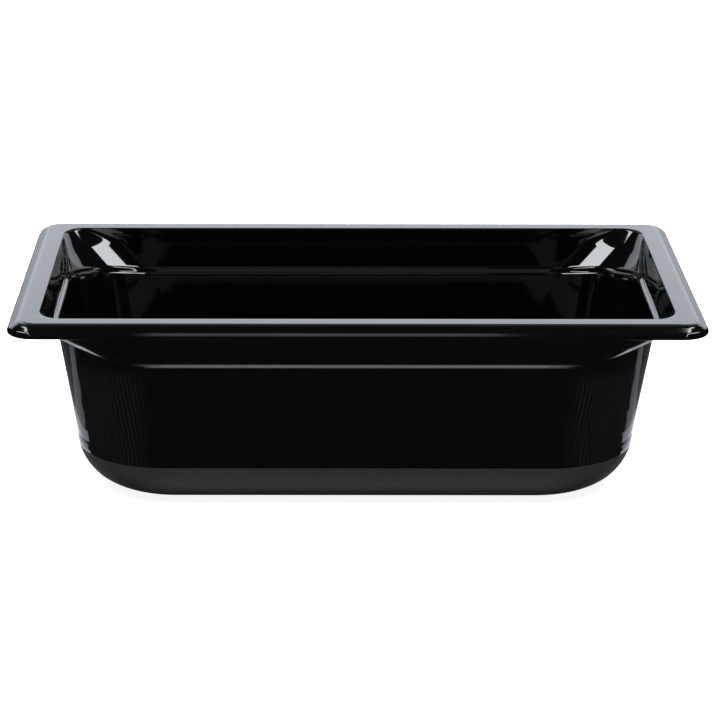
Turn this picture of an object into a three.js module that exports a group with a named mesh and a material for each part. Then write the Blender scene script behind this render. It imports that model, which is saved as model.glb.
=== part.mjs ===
// Deli food pan: a third-size steam-table pan, 100 mm deep, moulded in one
// piece from black polycarbonate. The whole pan is one shell of near-constant
// wall, so it is built the way it is shaped: as a closed loft through level
// rounded rectangles, up the outside, over the rim and down the inside.
//
// Frame: millimetres, +Z up, +X along the pan, +Y across it. The origin is the
// middle of the flat underside, on the surface that the pan stands on.

import * as THREE from 'three';
import { mergeVertices } from 'three/addons/utils/BufferGeometryUtils.js';

// ---- driving dimensions (mm) ------------------------------------------------
const LENGTH = 325;          // over the rim, third-size pan
const WIDTH = 176;           // over the rim
const HEIGHT = 100;          // underside to the top of the rim
const BEVEL_IN = 5.2;        // how far in from the edge the flat land stops
const BEVEL_DROP = 2.5;      // fall of the bevel outside the land
const FACET_IN = 0.9;        // width of the steep facet below the bevel
const FACET_DROP = 4.3;      // where the facet meets the upright edge
const LIP_DROP = 5.9;        // how far the rim turns down at its edge
const RIM_CORNER_R = 13.1;   // outer corner of the rim in plan
const FACET_CORNER_R = 10.8; // corner of the line between facet and bevel
const LAND_CORNER_R = 5;     // outer corner of the flat land, much tighter
const RIM_WALL = 2.5;        // thickness of the rim's land and lip
const MOUTH_X = 148.4;       // half length of the mouth, at the top of the wall
const MOUTH_Y = 73.8;        // half width of the mouth
const MOUTH_R = 10.3;        // corner of the mouth in plan
const MOUTH_ROUND = 1.0;     // rounding from the land into the mouth
const WALL = 2.4;            // wall of the body
const FLOOR = 2.8;           // thickness of the floor
const SHOULDER_SIDE = 80.1;  // height of the inside shoulder on the long sides
const SHOULDER_END = 87.2;   // and on the short ends, where it is higher
const SHOULDER_X = 145.1;    // half length at the top of the shoulder
const SHOULDER_Y = 72.0;     // half width at the top of the shoulder
const SHOULDER_R = 41;       // the corner opens out to this on the way down
const SHOULDER_IN = 2.4;     // how far the shoulder steps in
const BODY_X = 144.5;        // outside of the body just under the shoulder, ends
const BODY_Y = 72.0;         // and sides
const BODY_R = 44.8;         // outside corner of the body in plan
const DRAFT_X = 0.143;       // taper of the end walls, mm in per mm down
const DRAFT_Y = 0.137;       // taper of the side walls
const FOOT_H = 28.2;         // height at which the wall turns in to the floor
const FOOT_IN = 24.9;        // how far in the turn brings it
const FOOT_R = 26.9;         // corner of the flat underside in plan

const CORNER_STEPS = 11;     // facets round each corner

// ---- a level ring -----------------------------------------------------------
// A rounded rectangle of half sizes x and y and corner radius r. Its height is
// z on the long sides and zEnd on the short ends, easing from one to the other
// round each corner, more or less evenly by its power. Every ring has the same number of points in the same
// order, so neighbouring rings join with plain quads.
const ease = (t, power) => {
  const a = Math.pow(t, power), b = Math.pow(1 - t, power);
  return a / (a + b);
};

function ring({ x, y, r, z, zEnd = z, power = 1.4 }) {
  const points = [];
  const quadrants = [[1, 1], [-1, 1], [-1, -1], [1, -1]];
  quadrants.forEach(([sx, sy], q) => {
    const cx = sx * (x - r), cy = sy * (y - r);
    for (let i = 0; i <= CORNER_STEPS; i++) {
      const t = i / CORNER_STEPS;
      const angle = (q + t) * Math.PI / 2;
      // 0 on the end of the pan and 1 on its side, whichever way it is walked
      const side = q % 2 === 0 ? t : 1 - t;
      const h = zEnd + (z - zEnd) * ease(side, power);
      points.push([cx + r * Math.cos(angle), cy + r * Math.sin(angle), h]);
    }
  });
  return points;
}

// a quarter turn between two rings, n steps, ends not repeated
function quarter(from, to, n) {
  const rings = [];
  for (let i = 1; i < n; i++) {
    const a = (i / n) * Math.PI / 2;
    const level = Math.sin(a), rise = 1 - Math.cos(a);
    rings.push({
      x: from.x + (to.x - from.x) * level,
      y: from.y + (to.y - from.y) * level,
      r: from.r + (to.r - from.r) * level,
      z: from.z + (to.z - from.z) * rise,
    });
  }
  return rings;
}

// ---- the outside, from the middle of the underside up to the lip --------------
const BODY_Z = HEIGHT - 25.2, BODY_Z_END = HEIGHT - 13.0;
const footOut = {
  x: BODY_X - DRAFT_X * (BODY_Z_END - FOOT_H),
  y: BODY_Y - DRAFT_Y * (BODY_Z - FOOT_H),
  r: BODY_R - 1.5, z: FOOT_H,
};
const base = { x: footOut.x - FOOT_IN, y: footOut.y - FOOT_IN, r: FOOT_R, z: 0 };
const EDGE = (inset, z, r = RIM_CORNER_R - inset) => (
  { x: LENGTH / 2 - inset, y: WIDTH / 2 - inset, r, z: HEIGHT - z }
);

const outside = [
  base,
  ...quarter(base, footOut, 6),
  footOut,
  // the body wall, up to the underside of the shoulder
  { x: BODY_X, y: BODY_Y, r: BODY_R, z: BODY_Z, zEnd: BODY_Z_END, power: 1 },
  // the shoulder steps out to the upper wall
  { x: BODY_X + 2.7, y: BODY_Y + 2.3, r: SHOULDER_R + 2.6, z: BODY_Z + 3.0, zEnd: BODY_Z_END + 1.4, power: 1 },
  { x: MOUTH_X + WALL - 0.9, y: MOUTH_Y + WALL, r: (MOUTH_R + SHOULDER_R) / 2 + 4, z: HEIGHT - 13, zEnd: HEIGHT - 9.5 },
  { x: MOUTH_X + WALL, y: MOUTH_Y + WALL + 0.7, r: MOUTH_R + 5.5, z: HEIGHT - 4.2 },
  // underside of the rim
  { x: MOUTH_X + WALL + 1.1, y: MOUTH_Y + WALL + 1.8, r: MOUTH_R + 4.9, z: HEIGHT - RIM_WALL - 0.3 },
  EDGE(5.3, RIM_WALL + 0.3, RIM_CORNER_R - 4.4),
  // inner face and bottom edge of the lip
  EDGE(2.7, 4.3),
  EDGE(2.4, LIP_DROP - 0.4),
  EDGE(1.9, LIP_DROP),
  EDGE(0.5, LIP_DROP),
  EDGE(0, LIP_DROP - 0.6),
  // outer edge, facet and bevel
  EDGE(0, FACET_DROP),
  EDGE(FACET_IN, BEVEL_DROP, FACET_CORNER_R),
];

// ---- the rim's flat land --------------------------------------------------------
const landInner = {
  x: MOUTH_X + MOUTH_ROUND, y: MOUTH_Y + MOUTH_ROUND, r: MOUTH_R + MOUTH_ROUND, z: HEIGHT,
};
const rim = [
  EDGE(BEVEL_IN, 0, LAND_CORNER_R),
  landInner,
];

// ---- the inside, from the mouth down to the middle of the floor ---------------
const mouth = { x: MOUTH_X, y: MOUTH_Y, r: MOUTH_R, z: HEIGHT - MOUTH_ROUND };
const footIn = { x: footOut.x - WALL, y: footOut.y - WALL, r: footOut.r - WALL, z: FOOT_H };
const floor = { x: base.x, y: base.y, r: base.r, z: FLOOR };
// the upper wall, whose corners open from MOUTH_R to SHOULDER_R as they go down
const shoulderTop = { x: SHOULDER_X, y: SHOULDER_Y, r: SHOULDER_R, z: SHOULDER_SIDE, zEnd: SHOULDER_END };
const upper = [];
for (let i = 1; i < 4; i++) {
  const t = i / 4;
  const mix = (a, b) => a + (b - a) * t;
  upper.push({
    x: mix(mouth.x, shoulderTop.x), y: mix(mouth.y, shoulderTop.y), r: mix(mouth.r, shoulderTop.r),
    z: mix(mouth.z, shoulderTop.z), zEnd: mix(mouth.z, shoulderTop.zEnd),
  });
}
const inside = [
  ...quarter(landInner, mouth, 4),
  mouth,
  ...upper,
  shoulderTop,
  // the shoulder steps in to the body wall
  {
    x: SHOULDER_X - SHOULDER_IN, y: SHOULDER_Y - SHOULDER_IN, r: 42,
    z: SHOULDER_SIDE - 3.6, zEnd: SHOULDER_END - 1.0,
  },
  footIn,
  ...quarter(floor, footIn, 6).reverse(),
  floor,
];

// ---- join the rings into one closed shell -------------------------------------
function loft(profile) {
  const rings = profile.map(ring);
  const n = rings[0].length;
  const positions = [];
  const triangle = (a, b, c) => positions.push(...a, ...b, ...c);
  for (let k = 0; k + 1 < rings.length; k++) {
    const lower = rings[k], higher = rings[k + 1];
    for (let i = 0; i < n; i++) {
      const j = (i + 1) % n;
      triangle(lower[i], lower[j], higher[j]);
      triangle(lower[i], higher[j], higher[i]);
    }
  }
  const first = rings[0], last = rings[rings.length - 1];
  const under = [0, 0, first[0][2]], top = [0, 0, last[0][2]];
  for (let i = 0; i < n; i++) {
    const j = (i + 1) % n;
    triangle(under, first[j], first[i]);
    triangle(top, last[i], last[j]);
  }
  const soup = new THREE.BufferGeometry();
  soup.setAttribute('position', new THREE.Float32BufferAttribute(positions, 3));
  const geometry = mergeVertices(soup, 1e-4);
  geometry.computeVertexNormals();
  return geometry;
}

const polycarbonate = new THREE.MeshStandardMaterial({
  name: 'black_polycarbonate', color: 0x0b0b0d, roughness: 0.12, metalness: 0.0,
});

const pan = new THREE.Mesh(loft([...outside, ...rim, ...inside]), polycarbonate);
pan.name = 'pan';

const group = new THREE.Group();
group.add(pan);

export default group;
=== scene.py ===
"""Looks of the deli food pan: a third-size pan, 100 mm deep, in black polycarbonate.

The pan is one moulding. Its visible mesh is a closed loft through level rounded
rectangles, like the CAD node that it stands for, with every edge rounded as the
mould leaves it. All lengths in this part of the script are millimetres in the
row frame, and the mesh is written in metres.
"""

import math

import bpy
import numpy as np
from mathutils import Matrix, Vector


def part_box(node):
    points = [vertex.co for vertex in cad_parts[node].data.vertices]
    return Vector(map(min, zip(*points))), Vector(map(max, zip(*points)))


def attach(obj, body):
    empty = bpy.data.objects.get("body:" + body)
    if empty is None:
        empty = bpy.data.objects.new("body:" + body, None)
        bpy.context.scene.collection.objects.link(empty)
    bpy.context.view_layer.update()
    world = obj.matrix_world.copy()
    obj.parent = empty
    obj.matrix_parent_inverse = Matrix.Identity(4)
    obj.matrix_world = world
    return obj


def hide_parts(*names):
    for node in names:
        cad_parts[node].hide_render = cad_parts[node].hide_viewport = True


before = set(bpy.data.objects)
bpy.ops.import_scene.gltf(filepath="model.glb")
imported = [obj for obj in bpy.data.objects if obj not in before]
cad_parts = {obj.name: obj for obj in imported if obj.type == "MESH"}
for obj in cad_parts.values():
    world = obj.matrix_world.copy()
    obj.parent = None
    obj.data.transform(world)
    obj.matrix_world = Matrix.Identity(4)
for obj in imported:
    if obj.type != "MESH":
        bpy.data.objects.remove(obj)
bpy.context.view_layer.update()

LOW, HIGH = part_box("pan")
HX = (HIGH.x - LOW.x) * 500.0  # half length over the rim
HY = (HIGH.y - LOW.y) * 500.0  # half width over the rim
H = (HIGH.z - LOW.z) * 1000.0  # underside to the top of the rim

# ---------------------------------------------------------------------------
# rings
# ---------------------------------------------------------------------------
N_SIDE = 26  # steps along half a long side
N_CORNER = 36  # steps round a corner
N_END = 26  # steps along half a short end


def K(x, y, r, z, e=None, f=0.0, p=1.4):
    """A key ring: half sizes, corner radius, height on the sides and on the ends, the length of the
    rounding here, and how sharply the height changes half way round the corner."""
    return {"v": np.array([x, y, r, z, z if e is None else e, p], float), "f": f}


def ease(t, p):
    a, b = np.power(t, p), np.power(1.0 - t, p)
    return a / (a + b)


def step_len(a, b):
    d = b - a
    return max(math.hypot(d[0], d[4]), math.hypot(d[1], d[3]), 1e-6)


def turn(a, b, c):
    u = np.array([b[1] - a[1], b[3] - a[3]])
    w = np.array([c[1] - b[1], c[3] - b[3]])
    m = np.linalg.norm(u) * np.linalg.norm(w)
    if m < 1e-9:
        return 0.3
    return math.acos(max(-1.0, min(1.0, float(u @ w) / m)))


def profile(keys, longest=7.0):
    """Rounds each key ring by its own length, and adds level rings so that flats stay flat in the shading."""
    rows = [keys[0]["v"]]
    tags = [0]
    for i in range(1, len(keys) - 1):
        a, b, c = keys[i - 1]["v"], keys[i]["v"], keys[i + 1]["v"]
        f = keys[i]["f"]
        if f <= 0:
            rows.append(b)
            tags.append(i)
            continue
        la, lc = step_len(a, b), step_len(b, c)
        p0 = b + (a - b) * min(0.47, f / la)
        p2 = b + (c - b) * min(0.47, f / lc)
        phi = turn(a, b, c)
        n = max(3, int(math.ceil(math.degrees(phi) / 7.0)))
        w = math.cos(phi / 2)
        for k in range(n + 1):
            t = k / n
            q = (1 - t) ** 2, 2 * w * t * (1 - t), t * t
            rows.append((q[0] * p0 + q[1] * b + q[2] * p2) / sum(q))
            tags.append(i)
    rows.append(keys[-1]["v"])
    tags.append(len(keys) - 1)
    out, out_tags = [rows[0]], [tags[0]]
    for (a, ta), (b, tb) in zip(zip(rows, tags), zip(rows[1:], tags[1:])):
        length = step_len(a, b)
        cuts = []
        if ta != tb and length > 0.9:
            edge = min(0.25, length / 4) / length
            inner = max(1, int(math.ceil(length / longest)))
            cuts = [edge, *[k / inner for k in range(1, inner)], 1 - edge]
        for t in cuts:
            out.append(a + (b - a) * t)
            out_tags.append(ta)
        out.append(b)
        out_tags.append(tb)
    return np.array(out), out_tags


def ring_points(v):
    """The points of one ring, counter-clockwise from the middle of the +X end."""
    x, y, r, zs, ze, p = v
    quarter = []
    for i in range(N_END):
        quarter.append((x, (y - r) * i / N_END, ze))
    for i in range(N_CORNER + 1):
        t = i / N_CORNER
        a = t * math.pi / 2
        quarter.append(
            (x - r + r * math.cos(a), y - r + r * math.sin(a), ze + (zs - ze) * ease(t, p))
        )
    for i in range(1, N_SIDE + 1):
        quarter.append(((x - r) * (1 - i / N_SIDE), y, zs))
    q = np.array(quarter)
    m = len(q)
    first = q
    second = q[::-1][1:] * [-1, 1, 1]
    third = q[1:] * [-1, -1, 1]
    fourth = q[::-1][1:-1] * [1, -1, 1]
    pts = np.concatenate([first, second, third, fourth])
    return pts, m


# ---------------------------------------------------------------------------
# the section of the pan
# ---------------------------------------------------------------------------
WITNESS = 21.9  # height of the line where the polished wall meets the matte foot
FOOT = (136.1, 65.6, 43.3, 28.2)  # the outside where the wall turns in to the floor
BASE = (111.2, 40.7, 26.9)  # the edge of the flat underside
WALL = 2.4


def foot_curve(inset, lift, n):
    """The turn from the flat underside up into the wall, without its ends."""
    x0, y0, r0, z0 = *BASE, lift
    x1, y1, r1, z1 = FOOT[0] - inset, FOOT[1] - inset, FOOT[2] - inset, FOOT[3]
    rows = []
    for i in range(1, n):
        a = i / n * math.pi / 2
        s, c = math.sin(a), 1 - math.cos(a)
        rows.append(
            K(x0 + (x1 - x0) * s, y0 + (y1 - y0) * s, r0 + (r1 - r0) * s, z0 + (z1 - z0) * c)
        )
    return rows


outside = [
    K(*BASE, 0.0, f=1.2),
    *foot_curve(0.0, 0.0, 28),
    K(*FOOT),
    K(144.5, 72.0, 44.8, H - 25.15, H - 13.0, f=0.4, p=1.0),
    K(147.2, 74.25, 42.6, H - 22.35, H - 11.6, f=0.4, p=1.0),
    K(149.6, 76.3, 30.0, H - 13, H - 9.5, f=2.5, p=1.0),
    K(150.6, 76.9, 16.0, H - 4.2, f=1.2),
    K(151.9, 78.2, 15.4, H - 2.8, f=0.8),
    K(HX - 5.3, HY - 5.3, 8.7, H - 2.9, f=0.8),
    K(HX - 2.7, HY - 2.7, 10.4, H - 4.4, f=0.5),
    K(HX - 2.3, HY - 2.3, 10.8, H - 5.5, f=0.3),
    K(HX - 1.8, HY - 1.8, 11.3, H - 5.9, f=0.2),
    K(HX - 0.5, HY - 0.5, 12.6, H - 5.9, f=0.35),
    K(HX, HY, 13.1, H - 5.5, f=0.3),
    K(HX, HY, 13.1, H - 4.3, f=0.2),
    K(HX - 0.95, HY - 0.95, 10.8, H - 2.5, f=0.3),
    K(HX - 5.2, HY - 5.2, 5.0, H, f=1.8),
]
land = [K(152.0, 78.0, 13.0, H)]
inside = [
    K(148.6, 73.9, 9.5, H - 0.03, f=1.2),
    K(148.45, 73.87, 12.5, H - 0.25, f=0.5),
    K(147.9, 73.65, 17.5, H - 2.4, H - 2.6, f=2.0),
    K(146.3, 73.3, 27.0, H - 6.5, H - 8.4, f=2.0),
    K(145.1, 72.0, 41.0, H - 20.7, H - 12.9, f=0.8),
    K(142.8, 69.7, 42.0, H - 23.3, H - 13.8, f=0.9),
    K(FOOT[0] - WALL, FOOT[1] - WALL, FOOT[2] - WALL, FOOT[3]),
    *foot_curve(WALL, 2.8, 28)[::-1],
    K(*BASE, 2.8, f=1.2),
]


def centre_rows(x, y, r, z, dip=0.0):
    """Level rings from the edge of a flat to a small loop at its middle."""
    rows = []
    for s in (0.8, 0.55, 0.32, 0.14):
        rr = min(r * s * 1.6, y * s * 0.98)
        rows.append(K(x * s, y * s, rr, z))
    for rad, dz in ((7.0, 0.0), (5.2, 0.0), (4.9, 0.25), (4.4, 0.3), (2.0, 0.3)):
        rows.append(K(rad, rad, rad * 0.98, z + dz * dip))
    return rows


keys = [
    *centre_rows(*BASE, 0.0, dip=1.0)[::-1],
    *outside,
    *land,
    *inside,
    *centre_rows(*BASE, 2.8),
]
rows, tags = profile(keys)
rings = [ring_points(v)[0] for v in rows]
n = len(rings[0])
first_inside = next(
    i for i, t in enumerate(tags) if t >= len(centre_rows(1, 1, 1, 0)) + len(outside)
)

verts = np.concatenate(rings)
faces = []
for k in range(len(rings) - 1):
    a, b = k * n, (k + 1) * n
    for i in range(n):
        j = (i + 1) % n
        faces.append((a + i, a + j, b + j, b + i))
faces.append(tuple(range(n))[::-1])
last = (len(rings) - 1) * n
faces.append(tuple(last + i for i in range(n)))

mesh = bpy.data.meshes.new("pan_moulding")
mesh.from_pydata((verts * 0.001).tolist(), [], faces)
mesh.validate(verbose=False)
mesh.update()
for p in mesh.polygons:
    p.use_smooth = True
pan = bpy.data.objects.new("pan_moulding", mesh)
bpy.context.scene.collection.objects.link(pan)

# facts about each point that the material reads: which skin it is on, and how
# far round the pan it is, in metres along the body wall
skin = np.repeat((np.arange(len(rings)) < first_inside).astype(np.float32), n)
mesh.attributes.new("outer_skin", "FLOAT", "POINT").data.foreach_set("value", skin)
mid = rings[[i for i, t in enumerate(tags) if t == len(centre_rows(1, 1, 1, 0)) + 29][0]]
loop = np.concatenate([[0], np.cumsum(np.linalg.norm(np.diff(mid, axis=0), axis=1))])
mesh.attributes.new("round_pan", "FLOAT", "POINT").data.foreach_set(
    "value", np.tile((loop * 0.001).astype(np.float32), len(rings))
)

# ---------------------------------------------------------------------------
# material
# ---------------------------------------------------------------------------


def node(tree, kind, x=0, y=0, **values):
    made = tree.nodes.new(kind)
    made.location = (x, y)
    for key, value in values.items():
        if key in made.inputs:
            made.inputs[key].default_value = value
        else:
            setattr(made, key, value)
    return made


def black_polycarbonate():
    mat = bpy.data.materials.new("black_polycarbonate_moulded")
    mat.use_nodes = True
    t = mat.node_tree
    t.nodes.clear()
    link = t.links.new
    out = node(t, "ShaderNodeOutputMaterial", 1400, 0)
    shader = node(t, "ShaderNodeBsdfPrincipled", 1100, 0)
    shader.inputs["IOR"].default_value = 1.58
    link(shader.outputs["BSDF"], out.inputs["Surface"])
    coords = node(t, "ShaderNodeTexCoord", -1600, 0)
    place = coords.outputs["Object"]
    split = node(t, "ShaderNodeSeparateXYZ", -1400, -400)
    link(place, split.inputs[0])
    outer = node(t, "ShaderNodeAttribute", -1400, -700, attribute_name="outer_skin")

    # matte foot: the outside below the witness line
    below = node(t, "ShaderNodeMapRange", -1150, -450)
    below.interpolation_type = "SMOOTHSTEP"
    below.inputs["From Min"].default_value = WITNESS * 0.001 - 0.0002
    below.inputs["From Max"].default_value = WITNESS * 0.001 + 0.0002
    below.inputs["To Min"].default_value = 1.0
    below.inputs["To Max"].default_value = 0.0
    link(split.outputs["Z"], below.inputs["Value"])
    matte = node(t, "ShaderNodeMath", -950, -500, operation="MULTIPLY")
    link(below.outputs["Result"], matte.inputs[0])
    link(outer.outputs["Fac"], matte.inputs[1])

    # roughness of the polished skin: smudges and hairline scratches
    smudge = node(t, "ShaderNodeTexNoise", -1150, 300)
    smudge.inputs["Scale"].default_value = 22.0
    smudge.inputs["Detail"].default_value = 5.0
    smudge.inputs["Roughness"].default_value = 0.62
    link(place, smudge.inputs["Vector"])
    polished = node(t, "ShaderNodeMapRange", -900, 300)
    polished.inputs["From Min"].default_value = 0.35
    polished.inputs["From Max"].default_value = 0.75
    polished.inputs["To Min"].default_value = 0.035
    polished.inputs["To Max"].default_value = 0.085
    link(smudge.outputs["Fac"], polished.inputs["Value"])
    grain = node(t, "ShaderNodeTexNoise", -1150, 50)
    grain.inputs["Scale"].default_value = 2600.0
    grain.inputs["Detail"].default_value = 2.0
    link(place, grain.inputs["Vector"])
    eroded = node(t, "ShaderNodeMapRange", -900, 50)
    eroded.inputs["From Min"].default_value = 0.3
    eroded.inputs["From Max"].default_value = 0.7
    eroded.inputs["To Min"].default_value = 0.6
    eroded.inputs["To Max"].default_value = 0.72
    link(grain.outputs["Fac"], eroded.inputs["Value"])
    rough = node(t, "ShaderNodeMix", -600, 200, data_type="FLOAT")
    link(matte.outputs[0], rough.inputs[0])
    link(polished.outputs["Result"], rough.inputs[2])
    link(eroded.outputs["Result"], rough.inputs[3])
    link(rough.outputs[0], shader.inputs["Roughness"])

    # colour: black resin, a little greyer where the skin is matte, and lighter on the crests of the corner ribs
    # as painted sheen stripes
    tone = node(t, "ShaderNodeMix", -300, 500, data_type="RGBA")
    tone.inputs[6].default_value = (0.0011, 0.00105, 0.0011, 1)
    tone.inputs[7].default_value = (0.0058, 0.0060, 0.0070, 1)
    grey_matte_and_painted_rib_sheen = node(t, "ShaderNodeMath", -450, 500, operation="MAXIMUM")
    link(matte.outputs[0], grey_matte_and_painted_rib_sheen.inputs[0])
    link(grey_matte_and_painted_rib_sheen.outputs[0], tone.inputs[0])
    link(tone.outputs[2], shader.inputs["Base Color"])

    # relief: the slow waviness of a moulded wall, and the grain of the foot
    wave = node(t, "ShaderNodeTexNoise", -900, -900)
    wave.inputs["Scale"].default_value = 26.0
    wave.inputs["Detail"].default_value = 1.5
    link(place, wave.inputs["Vector"])
    wavy = node(t, "ShaderNodeBump", 300, -700)
    wavy.inputs["Strength"].default_value = 1.0
    wavy.inputs["Distance"].default_value = 0.00001
    link(wave.outputs["Fac"], wavy.inputs["Height"])
    grained = node(t, "ShaderNodeMath", -300, -900, operation="MULTIPLY")
    link(grain.outputs["Fac"], grained.inputs[0])
    link(matte.outputs[0], grained.inputs[1])

    # fine upright ribs, left by the cutter on the mould's body corners: real relief in the bump, and also
    # painted sheen stripes in the colour, lighter on each rib crest
    round_pan = node(t, "ShaderNodeAttribute", -1400, -1300, attribute_name="round_pan")
    turns = node(t, "ShaderNodeMath", -1200, -1300, operation="MULTIPLY")
    turns.inputs[1].default_value = 2 * math.pi / 0.0022
    link(round_pan.outputs["Fac"], turns.inputs[0])
    ribs = node(t, "ShaderNodeMath", -1000, -1300, operation="SINE")
    link(turns.outputs[0], ribs.inputs[0])
    along = node(t, "ShaderNodeMath", -1200, -1500, operation="ABSOLUTE")
    link(split.outputs["X"], along.inputs[0])
    corner = node(t, "ShaderNodeMapRange", -1000, -1500)
    corner.inputs["From Min"].default_value = 0.097
    corner.inputs["From Max"].default_value = 0.106
    link(along.outputs[0], corner.inputs["Value"])
    under_step = node(t, "ShaderNodeMapRange", -1000, -1750)
    under_step.inputs["From Min"].default_value = 0.074
    under_step.inputs["From Max"].default_value = 0.066
    link(split.outputs["Z"], under_step.inputs["Value"])
    above_foot = node(t, "ShaderNodeMath", -1000, -1950, operation="GREATER_THAN")
    above_foot.inputs[1].default_value = WITNESS * 0.001
    link(split.outputs["Z"], above_foot.inputs[0])
    masks = [corner.outputs["Result"], under_step.outputs["Result"], above_foot.outputs[0], outer.outputs["Fac"]]
    where = masks[0]
    for k, mask in enumerate(masks[1:]):
        both = node(t, "ShaderNodeMath", -750 + 150 * k, -1500, operation="MULTIPLY")
        link(where, both.inputs[0])
        link(mask, both.inputs[1])
        where = both.outputs[0]
    rib_relief_and_painted_sheen = node(t, "ShaderNodeMath", -250, -1300, operation="MULTIPLY")
    link(ribs.outputs[0], rib_relief_and_painted_sheen.inputs[0])
    link(where, rib_relief_and_painted_sheen.inputs[1])
    # the ribs lighten the colour along their crests: painted sheen, not the resin's own colour
    link(rib_relief_and_painted_sheen.outputs[0], grey_matte_and_painted_rib_sheen.inputs[1])
    rib_bump = node(t, "ShaderNodeBump", 450, -1000)
    rib_bump.inputs["Strength"].default_value = 1.0
    rib_bump.inputs["Distance"].default_value = 0.000006
    link(rib_relief_and_painted_sheen.outputs[0], rib_bump.inputs["Height"])
    link(wavy.outputs["Normal"], rib_bump.inputs["Normal"])

    # the mould's parting lines across the outer half of each end land
    across = node(t, "ShaderNodeMath", -1200, -2200, operation="ABSOLUTE")
    link(split.outputs["Y"], across.inputs[0])
    near = node(t, "ShaderNodeMath", -1000, -2200, operation="COMPARE")
    near.inputs[1].default_value = 0.0672
    near.inputs[2].default_value = 0.00016
    link(across.outputs[0], near.inputs[0])
    on_land = node(t, "ShaderNodeMath", -1000, -2400, operation="GREATER_THAN")
    on_land.inputs[1].default_value = 0.1545
    link(along.outputs[0], on_land.inputs[0])
    parting = node(t, "ShaderNodeMath", -800, -2300, operation="MULTIPLY")
    link(near.outputs[0], parting.inputs[0])
    link(on_land.outputs[0], parting.inputs[1])
    line_bump = node(t, "ShaderNodeBump", 450, -1250, invert=True)
    line_bump.inputs["Strength"].default_value = 1.0
    line_bump.inputs["Distance"].default_value = 0.00004
    link(parting.outputs[0], line_bump.inputs["Height"])
    link(rib_bump.outputs["Normal"], line_bump.inputs["Normal"])
    bump = node(t, "ShaderNodeBump", 600, -700)
    bump.inputs["Strength"].default_value = 1.0
    bump.inputs["Distance"].default_value = 0.00003
    link(grained.outputs[0], bump.inputs["Height"])
    link(line_bump.outputs["Normal"], bump.inputs["Normal"])
    link(bump.outputs["Normal"], shader.inputs["Normal"])
    return mat


pan.data.materials.append(black_polycarbonate())
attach(pan, "root")
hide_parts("pan")

# ---------------------------------------------------------------------------
# floor, backdrop and light
# ---------------------------------------------------------------------------
scene = bpy.context.scene
scene.view_settings.view_transform = "Standard"
scene.view_settings.look = "None"
scene.view_settings.exposure = 0.0
scene.view_settings.gamma = 1.0


def plain(name, colour, rough=0.8):
    mat = bpy.data.materials.new(name)
    mat.use_nodes = True
    b = mat.node_tree.nodes["Principled BSDF"]
    b.inputs["Base Color"].default_value = (*colour, 1)
    b.inputs["Roughness"].default_value = rough
    b.inputs["Specular IOR Level"].default_value = 0.0
    return mat


def glow(name, colour, strength):
    mat = bpy.data.materials.new(name)
    mat.use_nodes = True
    t = mat.node_tree
    t.nodes.clear()
    out = t.nodes.new("ShaderNodeOutputMaterial")
    e = t.nodes.new("ShaderNodeEmission")
    e.inputs["Color"].default_value = (*colour, 1)
    e.inputs["Strength"].default_value = strength
    t.links.new(e.outputs[0], out.inputs[0])
    return mat


def card(name, corners, colour, strength):
    """A flat luminous card of the studio. It shows in reflections only."""
    m = bpy.data.meshes.new(name)
    m.from_pydata([tuple(c) for c in corners], [], [tuple(range(len(corners)))])
    m.update()
    o = bpy.data.objects.new(name, m)
    scene.collection.objects.link(o)
    m.materials.append(glow(name, colour, strength))
    o.visible_camera = False
    o.visible_diffuse = False
    o.visible_shadow = False
    return o


# floor
m = bpy.data.meshes.new("floor")
S = 12.0
m.from_pydata([(-S, -S, 0), (S, -S, 0), (S, S, 0), (-S, S, 0)], [], [(0, 1, 2, 3)])
m.update()
floor = bpy.data.objects.new("floor", m)
scene.collection.objects.link(floor)
floor.location.z = -0.0002
floor_mat = plain("floor_pale", (0.9, 0.9, 0.9))
floor_mat.node_tree.nodes["Principled BSDF"].inputs["Emission Color"].default_value = (1, 1, 1, 1)
floor_mat.node_tree.nodes["Principled BSDF"].inputs["Emission Strength"].default_value = 0.9
m.materials.append(floor_mat)
floor.visible_glossy = False

# backdrop: a big pale shell all round, seen by the camera only
bpy.ops.mesh.primitive_uv_sphere_add(segments=48, ring_count=24, radius=11.0)
dome = bpy.context.object
dome.name = "backdrop"
dome.data.materials.append(glow("backdrop_pale", (1, 1, 1), 1.0))
dome.visible_diffuse = False
dome.visible_glossy = False
dome.visible_shadow = False

world = bpy.data.worlds.new("studio")
scene.world = world
world.use_nodes = True
world.node_tree.nodes["Background"].inputs["Color"].default_value = (0.9, 0.95, 1.0, 1)
world.node_tree.nodes["Background"].inputs["Strength"].default_value = 0.02

# overhead light for the floor, kept out of the reflections
sun = bpy.data.lights.new("overhead", "AREA")
sun.shape = "SQUARE"
sun.size = 3.0
sun.energy = 190.0
overhead = bpy.data.objects.new("overhead", sun)
scene.collection.objects.link(overhead)
overhead.location = (0, 0, 2.2)
overhead.visible_glossy = False
overhead.visible_camera = False

COOL = (0.86, 0.915, 1.0)


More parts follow.
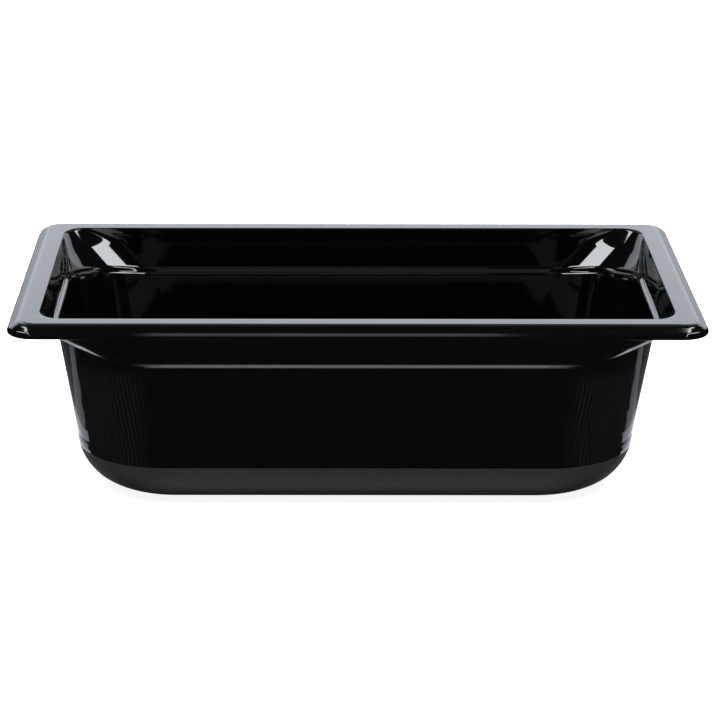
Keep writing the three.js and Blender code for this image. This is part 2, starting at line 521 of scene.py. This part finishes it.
def graded(mat, *steps):
    """Grades a card by height: each step runs from (height, share) to (height, share), in metres."""
    t = mat.node_tree
    e = next(k for k in t.nodes if k.type == "EMISSION")
    at = node(t, "ShaderNodeTexCoord", -800, 0)
    split = node(t, "ShaderNodeSeparateXYZ", -600, 0)
    t.links.new(at.outputs["Object"], split.inputs[0])
    last_out = None
    for k, ((z0, v0), (z1, v1)) in enumerate(steps):
        fade = node(t, "ShaderNodeMapRange", -400, -200 * k)
        fade.interpolation_type = "SMOOTHSTEP"
        fade.inputs["From Min"].default_value = z0
        fade.inputs["From Max"].default_value = z1
        fade.inputs["To Min"].default_value = v0
        fade.inputs["To Max"].default_value = v1
        t.links.new(split.outputs[2], fade.inputs["Value"])
        scale = node(t, "ShaderNodeMath", -200, -200 * k, operation="MULTIPLY")
        scale.inputs[1].default_value = e.inputs["Strength"].default_value if k == 0 else 1.0
        t.links.new(fade.outputs["Result"], scale.inputs[0])
        if last_out is not None:
            t.links.new(last_out, scale.inputs[1])
        last_out = scale.outputs[0]
    t.links.new(last_out, e.inputs["Strength"])


def aim(az, el, dist, origin=(0.0, 0.0, 0.09)):
    """A point of the studio: bearing from +Y towards +X, elevation, and distance."""
    a, e = math.radians(az), math.radians(el)
    return (
        origin[0] + dist * math.sin(a) * math.cos(e),
        origin[1] + dist * math.cos(a) * math.cos(e),
        origin[2] + dist * math.sin(e),
    )


def panel(name, az0, az1, el0, el1, dist, colour, strength, steps=6, origin=(0.0, 0.0, 0.09)):
    """A softbox that covers a patch of sky, curved round the pan."""
    pts = [aim(az0 + (az1 - az0) * i / steps, el0, dist, origin) for i in range(steps + 1)]
    pts += [aim(az1 + (az0 - az1) * i / steps, el1, dist, origin) for i in range(steps + 1)]
    n_ = steps + 1
    m_ = bpy.data.meshes.new(name)
    m_.from_pydata(pts, [], [(i, i + 1, 2 * n_ - 2 - i, 2 * n_ - 1 - i) for i in range(steps)])
    m_.update()
    o = bpy.data.objects.new(name, m_)
    scene.collection.objects.link(o)
    m_.materials.append(glow(name, colour, strength))
    o.visible_camera = False
    o.visible_diffuse = False
    o.visible_shadow = False
    return o


# back light: low in the middle, higher in its two wings, weaker near the table
mid_back = panel("back_mid", -13, 13, -2, 27, 2.6, COOL, 1.95, steps=4)
graded(mid_back.data.materials[0], ((0.25, 0.5), (0.62, 1.0)), ((0.96, 1.0), (1.12, 0.0)))
for side, name in ((-1, "left"), (1, "right")):
    wing = panel("back_" + name, side * 13, side * 49.5, -2, 36, 2.6, COOL, 1.95, steps=4)
    graded(wing.data.materials[0], ((0.25, 0.5), (0.62, 1.0)))
# the dim sky above it
sky = panel("sky_back", -30, 30, 28, 62, 2.5, COOL, 0.42)
graded(sky.data.materials[0], ((1.2, 1.0), (2.25, 0.3)))
# two softboxes, high to the front left and front right
for side, name in ((-1, "left"), (1, "right")):
    panel("box_" + name, side * 100, side * 142, 22, 48, 2.2, (0.94, 0.97, 1.0), 12.0)
    panel("box_end_" + name, side * 142, side * 160, 29, 48, 2.2, (0.94, 0.97, 1.0), 12.0, steps=2)
    panel("spot_" + name, side * 39, side * 60, 59, 76.5, 2.0, (1, 1, 1), 9.0, steps=3, origin=(side * 0.154, -0.0855, 0.098))
# front panel, high behind the camera
panel("box_front", -173, -187, 35.5, 41, 2.6, COOL, 1.15)
# and the dim ceiling over it
panel("sky_front", -150, -210, 60, 68, 2.6, COOL, 0.24)
# the pale table: under the rim, under the pan, and behind and beside it
def table(name, x0, x1, y0, y1, strength):
    card(name, [(x0, y0, -0.001), (x1, y0, -0.001), (x1, y1, -0.001), (x0, y1, -0.001)], COOL, strength)


table("card_front", -0.135, 0.135, -0.079, -0.0675, 0.06)
table("card_under_step", -0.0965, 0.0965, -0.0668, -0.061, 1.25)
for side, name in ((-1, "left"), (1, "right")):
    for k, (near, far, strength) in enumerate(((0.0965, 0.102, 0.85), (0.102, 0.109, 0.6), (0.109, 0.125, 0.4))):
        xs = sorted((side * near, side * far))
        table("card_step_%s_%d" % (name, k), xs[0], xs[1], -0.0668, -0.061, strength)
table("card_under_foot", -0.135, 0.135, -0.061, -0.044, 0.05)
table("card_under_turn", -0.14, 0.14, -0.044, -0.03, 0.4)
table("card_under_deep", -0.15, 0.15, -0.03, 0.09, 0.6)
table("card_back", -0.15, 0.15, 0.09, 0.6, 0.5)
for side, name in ((-1, "left"), (1, "right")):
    for k, (near, far, y0, close_by, beyond) in enumerate(
        (
            (0.15, 0.165, -0.022, 1.3, 1.2),
            (0.165, 0.18, -0.016, 0.9, 0.65),
            (0.18, 0.2, -0.006, 0.45, 0.16),
            (0.2, 0.23, 0.002, 0.45, 0.12),
            (0.23, 0.3, 0.008, 0.5, 0.09),
        )
    ):
        xs = sorted((side * near, side * far))
        table("card_%s_near_%d" % (name, k), xs[0], xs[1], y0, 0.045, close_by)
        table("card_%s_far_%d" % (name, k), xs[0], xs[1], 0.045, 0.6, beyond)

# ---------------------------------------------------------------------------
# camera
# ---------------------------------------------------------------------------
PITCH, YAW, ROLL = math.radians(19.260), math.radians(0.019), math.radians(0.066)
fwd = Vector((math.sin(YAW) * math.cos(PITCH), math.cos(YAW) * math.cos(PITCH), -math.sin(PITCH)))
right = Vector((math.cos(YAW), -math.sin(YAW), 0))
up = right.cross(fwd)
r2 = math.cos(ROLL) * right + math.sin(ROLL) * up
u2 = -math.sin(ROLL) * right + math.cos(ROLL) * up
data = bpy.data.cameras.new("camera")
data.sensor_width = 36.0
data.lens = 2599.36 / 720 * 36.0
data.shift_x = (360 - 310.78) / 720
data.shift_y = (356.69 - 360) / 720
camera = bpy.data.objects.new("camera", data)
scene.collection.objects.link(camera)
camera.matrix_world = Matrix(
    (
        (r2.x, u2.x, -fwd.x, -0.022137),
        (r2.y, u2.y, -fwd.y, -1.21544),
        (r2.z, u2.z, -fwd.z, 0.480218),
        (0, 0, 0, 1),
    )
)
scene.camera = camera
